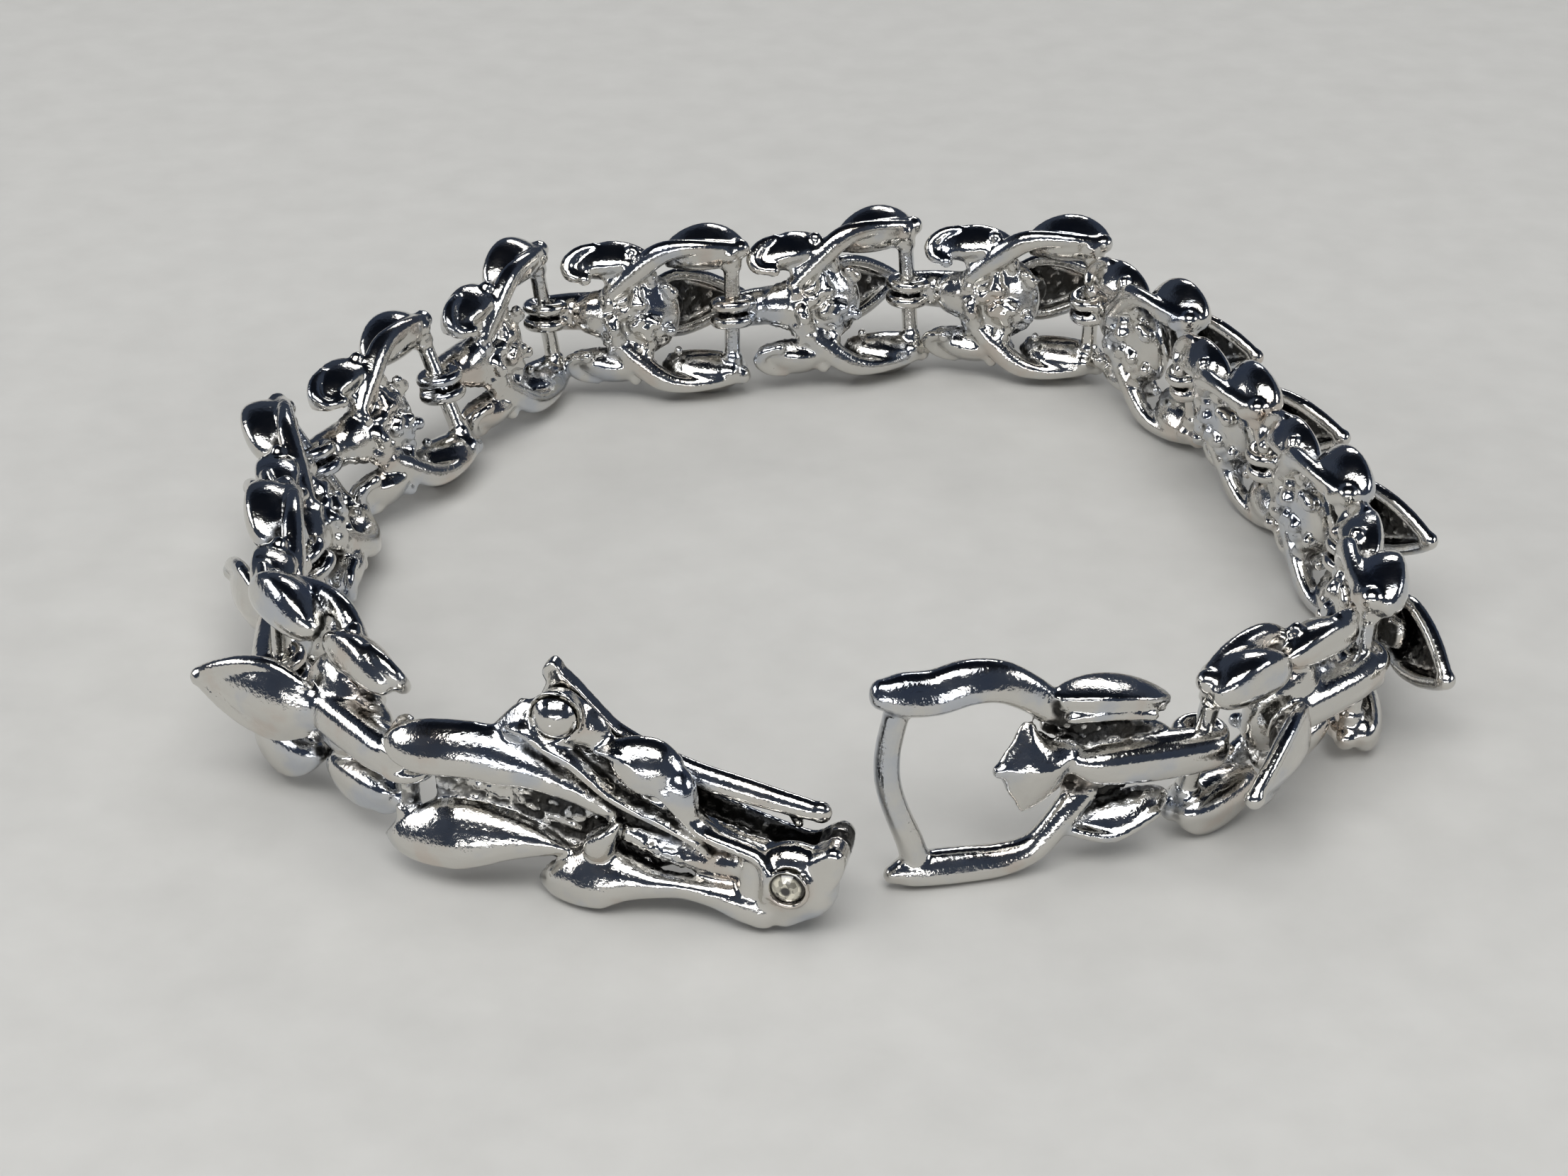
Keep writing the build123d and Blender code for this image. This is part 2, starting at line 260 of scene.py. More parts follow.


# Writes how deep each point of the skin lies among its neighbours, 0 on open faces to 1 in a pit, and
# roughens the pits like sand-cast metal; the material paints shade by this depth, and the grain tops get
# less of it. Extra adds what the piece's own hollows need.
def markRecesses(mesh, reach, extra=lambda spot, normal: 0.0):
    probe = bmesh.new()
    probe.from_mesh(mesh)
    tree = BVHTree.FromBMesh(probe)
    golden = pi * (3 - sqrt(5))
    fan = []
    for k in range(recess["rays"]):
        height = 1 - 2 * (k + 0.5) / recess["rays"]
        ring = sqrt(1 - height * height)
        fan.append(Vector((cos(golden * k) * ring, sin(golden * k) * ring, height)))
    depth = []
    for vert in probe.verts:
        start = vert.co + vert.normal * recess["lift"]
        total = 0.0
        for ray in fan:
            hit = tree.ray_cast(start, (ray + vert.normal * recess["lean"]).normalized(), reach)
            if hit[0] is not None:
                total += 1 - recess["farLoss"] * hit[3] / reach
        depth.append(min(1.0, max(0.0, total / recess["rays"] + extra(vert.co, vert.normal))))
    probe.verts.index_update()
    near = [[edge.other_vert(vert).index for edge in vert.link_edges] for vert in probe.verts]
    for _ in range(recess["spreadRounds"]):
        depth = [0.5 * deep + 0.5 * sum(depth[k] for k in ring) / max(1, len(ring))
                 for deep, ring in zip(depth, near)]
    for k, vert in enumerate(probe.verts):
        rough = softStep(*recess["roughRange"], depth[k])
        bump = (noise.noise(vert.co * recess["coarse"])
                + recess["fineShare"] * noise.noise(vert.co * recess["fine"]))
        vert.co += vert.normal * recess["grain"] * rough * bump
        depth[k] = max(0.0, depth[k] - rough * max(0.0, bump - recess["peakFrom"]) * recess["peakShadeLift"])
    probe.to_mesh(mesh)
    probe.free()
    layer = mesh.attributes.new("recess", "FLOAT", "POINT")
    layer.data.foreach_set("value", depth)


# Brings a mesh to metres in its place and makes it a piece of the object.
def finished(mesh, name, place, material, body, slot, *nodes):
    mesh.transform(place)
    for vert in mesh.vertices:                     # the lowest points rest just clear of the floor
        vert.co.z = max(vert.co.z, floorGap * metresPerMm)
    mesh.polygons.foreach_set("use_smooth", [True] * len(mesh.polygons))
    mesh.materials.clear()
    mesh.materials.append(material)
    piece = bpy.data.objects.new(name, mesh)
    bpy.context.scene.collection.objects.link(piece)
    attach(piece, body)
    if nodes:
        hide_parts(*nodes)


# The place of one piece of the band, from its joint, in metres.
def lay(x, y, z, heading, roll=0.0):
    dx, dy = band["shift"]
    return (Matrix.Scale(metresPerMm, 4) @ Matrix.Translation((x + dx, y + dy, z))
            @ Matrix.Rotation(radians(heading), 4, "Z") @ Matrix.Rotation(radians(roll), 4, "X"))


# Materials

# sRGB hex to linear colour.
def linear(code):
    parts = [int(code[i:i + 2], 16) / 255 for i in (1, 3, 5)]
    return tuple(c / 12.92 if c <= 0.04045 else ((c + 0.055) / 1.055) ** 2.4 for c in parts) + (1.0,)


# Adds a node, sets its fields and sockets, and links sockets to it.
def addNode(tree, kind, settings=None, links=None):
    node = tree.nodes.new(kind)
    for key, value in (settings or {}).items():
        if isinstance(key, str) and hasattr(node, key):
            setattr(node, key, value)
        else:
            node.inputs[key].default_value = value
    for key, source in (links or {}).items():
        tree.links.new(source, node.inputs[key])
    return node


def newMaterial(name):
    material = bpy.data.materials.new(name)
    material.use_nodes = True
    tree = material.node_tree
    tree.nodes.clear()
    return material, tree


silver = {
    "polished": "#D4D2CD",           # white metal plate, hardly any warmth
    "blued": "#A9B8D0",              # thin blue tarnish in patches
    "browned": "#C7AE9A",            # thin brown tarnish in patches
    "recessShadeColour": "#11100E",          # near-black shade painted into the recesses
    "noises": {                      # waves per metre, and octaves
        "grit": (3300, 3.0),         # 0.3 mm sand grain of the casting
        "pits": (4600, 2.0),         # 0.2 mm pinholes that break up the reflections
        "patch": (900, 4.0),         # 1 mm patches that the painted shade and the roughness follow
        "stain": (300, 4.0),         # tarnish patches a few mm wide
        "wave": (420, 1.0),          # slow waves left by hand polishing, about 2.4 mm
    },
    "patchSwing": 0.34,              # how far a patch shifts the edge of the painted shade, half of it each way
    "ramps": {
        "paintedShade": {"From Min": 0.25, "From Max": 0.56, "To Max": 0.94, "interpolation_type": "SMOOTHSTEP"},
        "dull": {"From Min": 0.18, "From Max": 0.45, "interpolation_type": "SMOOTHSTEP"},
        "blue": {"From Min": 0.50, "From Max": 0.68, "To Max": 0.4, "interpolation_type": "SMOOTHSTEP"},
        "brown": {"From Min": 0.30, "From Max": 0.46, "To Min": 0.3, "To Max": 0.0,
                  "interpolation_type": "SMOOTHSTEP"},
        "sheen": {"From Min": 0.3, "From Max": 0.7, "To Min": 0.07, "To Max": 0.15},
    },
    "dulling": 0.26,                 # roughness that the recesses add
    "waveBump": {"Strength": 0.4, "Distance": 0.00006},
    "pitBump": {"Strength": 0.6, "Distance": 0.00003},
    "gritBump": {"Strength": 0.8, "Distance": 0.00012},
}


def makeCastSilver():
    # Silver-plated brass casting, tumbled and polished by hand: the raised forms are near mirrors, the
    # grooves are dull and grainy, and shade is painted into the recesses as near-black colour, more the
    # deeper they lie.
    material, tree = newMaterial("polishedCastSilverWithPaintedRecessShade")
    spot = addNode(tree, "ShaderNodeTexCoord").outputs["Object"]
    depth = addNode(tree, "ShaderNodeAttribute", {"attribute_name": "recess"}).outputs["Fac"]
    noises = {}
    for key, (perMetre, octaves) in silver["noises"].items():
        noises[key] = addNode(tree, "ShaderNodeTexNoise", {"Scale": perMetre, "Detail": octaves},
                              {"Vector": spot}).outputs["Fac"]
    swing = silver["patchSwing"]
    patchy = addNode(tree, "ShaderNodeMath", {"operation": "MULTIPLY_ADD", 1: swing, 2: -swing / 2},
                     {0: noises["patch"]}).outputs[0]
    patchyDepth = addNode(tree, "ShaderNodeMath", {"operation": "ADD"}, {0: depth, 1: patchy}).outputs[0]
    sources = {"paintedShade": patchyDepth, "dull": patchyDepth, "blue": noises["stain"], "brown": noises["stain"],
               "sheen": noises["patch"]}
    ramps = {}
    for key, value in sources.items():
        ramps[key] = addNode(tree, "ShaderNodeMapRange", silver["ramps"][key],
                             {"Value": value}).outputs["Result"]
    blued = addNode(tree, "ShaderNodeMix", {"data_type": "RGBA", 6: linear(silver["polished"]),
                                            7: linear(silver["blued"])}, {0: ramps["blue"]}).outputs[2]
    tinted = addNode(tree, "ShaderNodeMix", {"data_type": "RGBA", 7: linear(silver["browned"])},
                     {0: ramps["brown"], 6: blued}).outputs[2]
    # Painted shade: near-black colour where the skin lies deep in a recess.
    colour = addNode(tree, "ShaderNodeMix", {"data_type": "RGBA", 7: linear(silver["recessShadeColour"])},
                     {0: ramps["paintedShade"], 6: tinted}).outputs[2]
    dull = addNode(tree, "ShaderNodeMath", {"operation": "MULTIPLY_ADD", 1: silver["dulling"]},
                   {0: ramps["dull"], 2: ramps["sheen"]}).outputs[0]
    height = addNode(tree, "ShaderNodeMath", {"operation": "MULTIPLY"},
                     {0: noises["grit"], 1: ramps["dull"]}).outputs[0]
    waves = addNode(tree, "ShaderNodeBump", silver["waveBump"], {"Height": noises["wave"]}).outputs[0]
    pitted = addNode(tree, "ShaderNodeBump", silver["pitBump"],
                     {"Height": noises["pits"], "Normal": waves}).outputs[0]
    bump = addNode(tree, "ShaderNodeBump", silver["gritBump"],
                   {"Height": height, "Normal": pitted}).outputs[0]
    shader = addNode(tree, "ShaderNodeBsdfPrincipled", {"Metallic": 1.0},
                     {"Base Color": colour, "Roughness": dull, "Normal": bump})
    addNode(tree, "ShaderNodeOutputMaterial", {}, {"Surface": shader.outputs[0]})
    return material


gem = {
    "deep": "#0D0C0A",               # painted dark reflection for the culet and the girdle
    "dark": "#17150F",               # painted reflection on the darkest facets
    "bright": "#F2EDD8",             # painted glint on the brightest facets
    "facetsPerMetre": 3600,          # facets about 0.3 mm wide
    # Metres from the stone's axis.
    "culet": {"From Min": 0.00018, "From Max": 0.00034, "interpolation_type": "SMOOTHSTEP"},
    "girdle": {"From Min": 0.00066, "From Max": 0.00082, "To Min": 1.0, "To Max": 0.0,
               "interpolation_type": "SMOOTHSTEP"},
    "glass": {"Metallic": 0.0, "Roughness": 0.03, "IOR": 1.56, "Coat Weight": 1.0, "Coat Roughness": 0.02},
}


def makeStone():
    # Foil-backed glass rhinestone with its reflections painted into the colour: a dark culet in the middle,
    # bright facet glints round it, a dark girdle.
    material, tree = newMaterial("smokyGlassStoneWithPaintedFacets")
    low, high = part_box("eye_stone")
    middle = (Vector(low) + Vector(high)) / 2
    spot = addNode(tree, "ShaderNodeTexCoord").outputs["Object"]
    offset = addNode(tree, "ShaderNodeVectorMath", {"operation": "SUBTRACT", 1: middle},
                     {0: spot}).outputs[0]
    axis = (-sin(radians(band["headHeading"])), cos(radians(band["headHeading"])), 0)
    across = addNode(tree, "ShaderNodeVectorMath", {"operation": "CROSS_PRODUCT", 1: axis},
                     {0: offset}).outputs[0]
    reach = addNode(tree, "ShaderNodeVectorMath", {"operation": "LENGTH"}, {0: across}).outputs["Value"]
    spark = addNode(tree, "ShaderNodeTexVoronoi", {"Scale": gem["facetsPerMetre"]},
                    {"Vector": spot}).outputs["Color"]
    facets = addNode(tree, "ShaderNodeMix", {"data_type": "RGBA", 6: linear(gem["dark"]),
                                             7: linear(gem["bright"])}, {0: spark}).outputs[2]
    culet = addNode(tree, "ShaderNodeMapRange", gem["culet"], {"Value": reach}).outputs["Result"]
    girdle = addNode(tree, "ShaderNodeMapRange", gem["girdle"], {"Value": reach}).outputs["Result"]
    both = addNode(tree, "ShaderNodeMath", {"operation": "MULTIPLY"}, {0: culet, 1: girdle}).outputs[0]
    shade = addNode(tree, "ShaderNodeMix", {"data_type": "RGBA", 6: linear(gem["deep"])},
                    {0: both, 7: facets}).outputs[2]
    shader = addNode(tree, "ShaderNodeBsdfPrincipled", gem["glass"], {"Base Color": shade})
    addNode(tree, "ShaderNodeOutputMaterial", {}, {"Surface": shader.outputs[0]})
    return material


paper = {
    "dark": "#BDBCB8",
    "light": "#CBCAC6",
    "fibrePerMetre": 260,            # clouding about 4 mm wide
    "octaves": 5.0,
    "surface": {"Roughness": 0.9, "Specular IOR Level": 0.2},
}


def makePaper():
    # Matt pale paper sheet: faint fibre clouding, no shine.
    material, tree = newMaterial("mattPalePaper")
    spot = addNode(tree, "ShaderNodeTexCoord").outputs["Object"]
    fibre = addNode(tree, "ShaderNodeTexNoise", {"Scale": paper["fibrePerMetre"], "Detail": paper["octaves"]},
                    {"Vector": spot}).outputs["Fac"]
    shade = addNode(tree, "ShaderNodeMix", {"data_type": "RGBA", 6: linear(paper["dark"]),
                                            7: linear(paper["light"])}, {0: fibre}).outputs[2]
    shader = addNode(tree, "ShaderNodeBsdfPrincipled", paper["surface"], {"Base Color": shade})
    addNode(tree, "ShaderNodeOutputMaterial", {}, {"Surface": shader.outputs[0]})
    return material


castSilver = makeCastSilver()
stone = makeStone()
print("materials made")

fine = 1.0

# Links
link = {
    "voxel": 0.16,
    "recessReach": 2.6,
    "lumps": {"count": 40, "seed": 7, "xRange": (4.2, 9.2), "yLevel": -1.35, "zReach": 2.8},
    "leafFacing": (0, -0.62, 0.95),   # the decks turn to the inside of the band, the hulls to the outside
    "leaf": ((7.9, 0.6, 3.9), (13.9, 0.75, 4.35)),
    "leafShape": {"width": 3.35, "crown": 0.75, "belly": 2.2, "arch": 0.9, "point": 0.1, "lean": 0.06},
    "smallLeaf": ((7.6, 0.2, 3.7), (1.5, 0.0, 3.2)),
    "smallLeafShape": {"width": 2.6, "crown": 0.5, "belly": 1.8, "arch": 0.85, "point": 0.12},
    "tipBeads": [((13.4, -0.1, 4.45), 0.68), ((12.6, -0.55, 4.2), 0.66)],
    "clawBeads": [((6.1, -0.6, 4.5), 0.46), ((2.8, -1.3, 2.7), 0.44)],
    "core": [((6.6, 0.1, 0), (2.7, 1.35, 2.9)), ((4.2, -0.1, 0), (2.4, 1.1, 1.7))],
    "crossbar": {"halfLength": 4.2, "radius": 0.55},
    "barBoss": {"from": 3.0, "to": 4.6, "radius": 0.72},
    "hood": ((6.2, 1.3, 0), (13.65, 4.8, 0)),
    "hoodFacing": (-0.4, 0.9, 0),
    "hoodShape": {"width": 4.2, "crown": 1.05, "belly": -0.45, "arch": 0.2, "point": 1.3, "lean": -0.3,
                  "tent": 0.3},
    "hoodTip": ((13.4, 4.65, 0), 0.58),
    "hoodRoot": [(6.2, 1.0, 0, 1.3, 0.9), (7.6, 1.6, 0, 1.3, 0.8), (9.0, 2.3, 0, 0.9, 0.5)],
    "ridge": [(0.0, 0.6, 0, 1.15, 1.0), (1.6, 0.75, 0, 1.3, 1.15), (3.8, 0.8, 0, 1.35, 1.2),
              (6.0, 0.85, 0, 1.35, 1.15)],
    "arm": [(4.4, -0.7, 1.5, 0.6, 0.6), (6.2, -1.0, 3.1, 0.8, 0.65), (7.8, -1.15, 4.35, 0.8, 0.65),
            (9.4, -1.15, 4.8, 0.62, 0.56), (11.4, -0.9, 4.75, 0.5, 0.5), (13.2, -0.3, 4.45, 0.5, 0.5)],
    "claw": [(3.5, 0.0, 4.7, 0.3, 0.32), (2.4, -0.1, 4.35, 0.42, 0.42), (1.6, -0.45, 3.6, 0.48, 0.48),
             (1.75, -0.9, 2.95, 0.42, 0.42), (2.4, -1.15, 2.75, 0.34, 0.36)],
    "hoodRim": [(7.2, 1.9, 1.4, 0.34, 0.36), (8.85, 2.7, 2.0, 0.44, 0.44), (10.6, 3.5, 1.7, 0.46, 0.46),
                (12.0, 4.1, 1.05, 0.46, 0.46), (13.1, 4.5, 0.4, 0.44, 0.44)],
    # Where the hood's inside is, which gets painted shade: its facing, how far a face is turned to it, and
    # its bounds.
    "hollow": {"facing": (0.43, -0.9, 0), "turned": (0.4, 0.8), "halfWidth": 2.15, "taper": 0.4,
               "widestAt": 8.85, "inset": (0.75, 0.3), "from": (7.0, 8.4), "above": (0.9, 1.4), "dark": 0.6},
}
eye = {"lobes": (-0.56, 0.56), "major": 1.13, "minor": 0.45}
lump = {"slope": 0.25, "spread": (-0.3, 0.25), "radius": (0.28, 0.55)}


# The two-lobed eye that turns on the neighbour's crossbar.
def linkEye(bm):
    for z in eye["lobes"]:
        addRing(bm, (0, 0, z), (0, 0, 1), eye["major"], eye["minor"])


# Small beads of rough casting on the inside of the core.
def lumps(bm, count, seed, xRange, yLevel, zReach):
    chance = random.Random(seed)
    for _ in range(count):
        x = chance.uniform(*xRange)
        z = chance.uniform(-zReach, zReach)
        y = yLevel + lump["slope"] * abs(z) + chance.uniform(*lump["spread"])
        addBead(bm, (x, y, z), chance.uniform(*lump["radius"]))


# Painted shade inside the hood, within its rim.
def linkHollowShade(spot, normal):
    hollow = link["hollow"]
    inside = softStep(*hollow["turned"], normal.dot(Vector(hollow["facing"])))
    rim = hollow["halfWidth"] - hollow["taper"] * abs(spot.x - hollow["widestAt"])
    far, close = hollow["inset"]
    within = 1 - softStep(rim - far, rim - close, abs(spot.z))
    return (hollow["dark"] * softStep(*hollow["from"], spot.x) * softStep(*hollow["above"], spot.y)
            * inside * within)


def flipped(rows, s):
    return [(x, y, z * s, a, b) for x, y, z, a, b in rows]


def onSide(place, s):
    return (place[0], place[1], place[2] * s)


def buildLink():
    bm = bmesh.new()
    pitch = band["pitch"]
    boss = link["barBoss"]
    for s in (-1, 1):
        facing = onSide(link["leafFacing"], s)
        root, tip = link["leaf"]
        addPetal(bm, onSide(root, s), onSide(tip, s), facing, **link["leafShape"])
        addStrand(bm, flipped(link["arm"], s))
        for place, radius in link["tipBeads"]:
            addBead(bm, onSide(place, s), radius)
        addRod(bm, (pitch, 0, boss["from"] * s), (pitch, 0, boss["to"] * s), boss["radius"])
        root, tip = link["smallLeaf"]
        addPetal(bm, onSide(root, s), onSide(tip, s), facing, **link["smallLeafShape"])
        addStrand(bm, flipped(link["claw"], s))
        for place, radius in link["clawBeads"]:
            addBead(bm, onSide(place, s), radius)
        addStrand(bm, flipped(link["hoodRim"], s), facing=link["hoodFacing"])
    for place, radii in link["core"]:
        addBead(bm, place, radii)
    addStrand(bm, link["ridge"], square=0.9)
    linkEye(bm)
    addPetal(bm, *link["hood"], link["hoodFacing"], **link["hoodShape"])
    addBead(bm, *link["hoodTip"])
    addStrand(bm, link["hoodRoot"])
    bar = link["crossbar"]
    addRod(bm, (pitch, 0, -bar["halfLength"]), (pitch, 0, bar["halfLength"]), bar["radius"])
    lumps(bm, **link["lumps"])
    mesh = fuse(bm, "link", link["voxel"] * fine)
    markRecesses(mesh, link["recessReach"], linkHollowShade)
    return mesh


linkMesh = buildLink()
print("link cast:", len(linkMesh.polygons), "faces")
x, y = band["start"]
places = zip(band["headings"], band["rolls"], band["rises"])
for number, (heading, roll, rise) in enumerate(places, start=1):
    node = "link_%02d" % number
    finished(linkMesh.copy(), "castLink%02d" % number, lay(x, y, rise, heading, roll), castSilver, "band",
             "cast_metal", node)
    x += band["pitch"] * cos(radians(heading))
    y += band["pitch"] * sin(radians(heading))
tailSpot = (x, y)

# Tail with its stirrup
tail = {
    "voxel": 0.14,
    "recessReach": 2.6,
    "lumps": {"count": 26, "seed": 11, "xRange": (3.6, 8.2), "yLevel": -1.1, "zReach": 2.8},
    "facing": (0, 0.85, 0.53),       # the arms lean back a little, like the head's relief
    "upperArm": [(17.3, 0.1, 5.5, 0.85, 0.75), (16.3, 0.1, 5.35, 1.15, 0.84),
                 (14.6, 0.1, 5.25, 1.2, 0.88), (12.9, 0.1, 5.65, 1.2, 0.88),
                 (11.25, 0.1, 5.5, 1.12, 0.84), (9.8, 0.1, 4.7, 1.0, 0.8), (8.4, 0.1, 3.6, 0.9, 0.76),
                 (7.2, 0.0, 2.8, 0.8, 0.8), (6.2, 0.0, 2.2, 0.8, 0.8)],
    "lowerArm": [(16.75, 1.5, -5.1, 0.5, 0.6), (16.0, 1.5, -4.95, 0.85, 0.75),
                 (14.6, 1.5, -4.95, 0.98, 0.85), (12.8, 1.5, -5.0, 0.98, 0.85),
                 (11.0, 1.5, -5.0, 0.9, 0.85), (9.3, 1.4, -4.6, 0.78, 0.85),
                 (8.2, 1.2, -3.6, 0.75, 0.8), (7.2, 0.8, -2.6, 0.8, 0.8), (6.2, 0.2, -1.9, 0.8, 0.8)],
    "bar": [(16.3, 0.1, 5.2, 0.78, 0.66), (16.6, 0.1, 3.9, 0.7, 0.64), (16.95, 0.2, 1.9, 0.7, 0.64),
            (16.95, 0.5, 0.2, 0.7, 0.64), (16.5, 0.85, -1.5, 0.7, 0.64), (15.85, 1.2, -3.2, 0.74, 0.66),
            (15.45, 1.45, -4.6, 0.8, 0.66)],
    "crest": [(11.4, 1.3, 0.75, 0.15, 0.3), (11.0, 1.25, 0.75, 0.95, 0.65),
              (10.5, 1.2, 0.7, 1.75, 0.95), (9.95, 1.1, 0.65, 2.6, 1.15), (9.3, 1.1, 0.6, 2.3, 1.25),
              (8.6, 1.05, 0.65, 1.75, 1.2), (8.0, 0.95, 0.8, 1.3, 1.0), (7.2, 0.8, 0.9, 1.0, 0.7)],
    "ridge": [(-0.3, 0.7, 0.1, 1.15, 1.1), (1.6, 0.85, 0.1, 1.25, 1.2), (4.0, 0.95, 0.15, 1.25, 1.2),
              (6.0, 1.05, 0.3, 1.1, 1.15), (6.9, 1.1, 0.55, 0.75, 0.9)],
    "crestFacing": (0, 1, 0.25),
    "crestTip": ((11.3, 1.4, 0.75), 0.4),
    "core": [((5.6, 0.0, 0), (2.6, 1.1, 2.7)), ((3.4, -0.1, 0), (2.2, 1.0, 1.8))],
    "upperLeaf": ((8.5, 0.4, 4.4), (1.9, 0.2, 3.4), (0, -0.1, 1)),
    "upperLeafShape": {"width": 2.9, "crown": 0.3, "belly": 1.7, "arch": 0.55, "point": 0.12},
    "upperRim": [(7.6, 1.3, 3.5, 0.3, 0.3), (5.4, 1.5, 3.6, 0.34, 0.32), (3.2, 1.3, 3.1, 0.3, 0.3)],
    "lowerLeaf": ((7.3, 0.6, -4.1), (1.5, 0.4, -2.9), (0, 0.3, -1)),
    "lowerLeafShape": {"width": 2.9, "crown": 0.15, "belly": 1.9, "arch": 0.9, "point": 0.2},
    "lowerRim": [(7.2, 1.6, -3.6, 0.3, 0.3), (5.0, 2.0, -4.0, 0.34, 0.34), (2.6, 1.6, -3.1, 0.3, 0.3)],
    # Where the gaps get painted shade, and how much.
    "hollow": {"below": (0.75, 1.2), "turned": (0.4, 0.8), "until": (8.2, 9.2), "dark": 0.6},
}


# Painted shade in the gaps between ridge, leaves and arms.
def tailGapShade(spot, normal):
    hollow = tail["hollow"]
    low = 1 - softStep(*hollow["below"], spot.y)
    return (hollow["dark"] * low * softStep(*hollow["turned"], normal.y)
            * (1 - softStep(*hollow["until"], spot.x)))


def buildTail():
    bm = bmesh.new()
    addStrand(bm, tail["upperArm"], square=0.75, facing=tail["facing"])
    addStrand(bm, tail["lowerArm"], square=0.8, facing=tail["facing"])
    addStrand(bm, tail["bar"])
    addStrand(bm, tail["crest"], square=1.6, steps=5, facing=tail["crestFacing"])
    addBead(bm, *tail["crestTip"])
    addStrand(bm, tail["ridge"], square=0.85)
    linkEye(bm)
    for place, radii in tail["core"]:
        addBead(bm, place, radii)
    addPetal(bm, *tail["upperLeaf"], **tail["upperLeafShape"])
    addStrand(bm, tail["upperRim"])
    addPetal(bm, *tail["lowerLeaf"], **tail["lowerLeafShape"])
    addStrand(bm, tail["lowerRim"])
    lumps(bm, **tail["lumps"])
    mesh = fuse(bm, "tail", tail["voxel"] * fine)
    markRecesses(mesh, tail["recessReach"], tailGapShade)
    return mesh


tailPlace = lay(*tailSpot, band["tailRise"], band["tailHeading"], band["tailRoll"])
finished(buildTail(), "castStirrupTail", tailPlace, castSilver, "band", "cast_metal", "tail_ring")
print("tail cast")

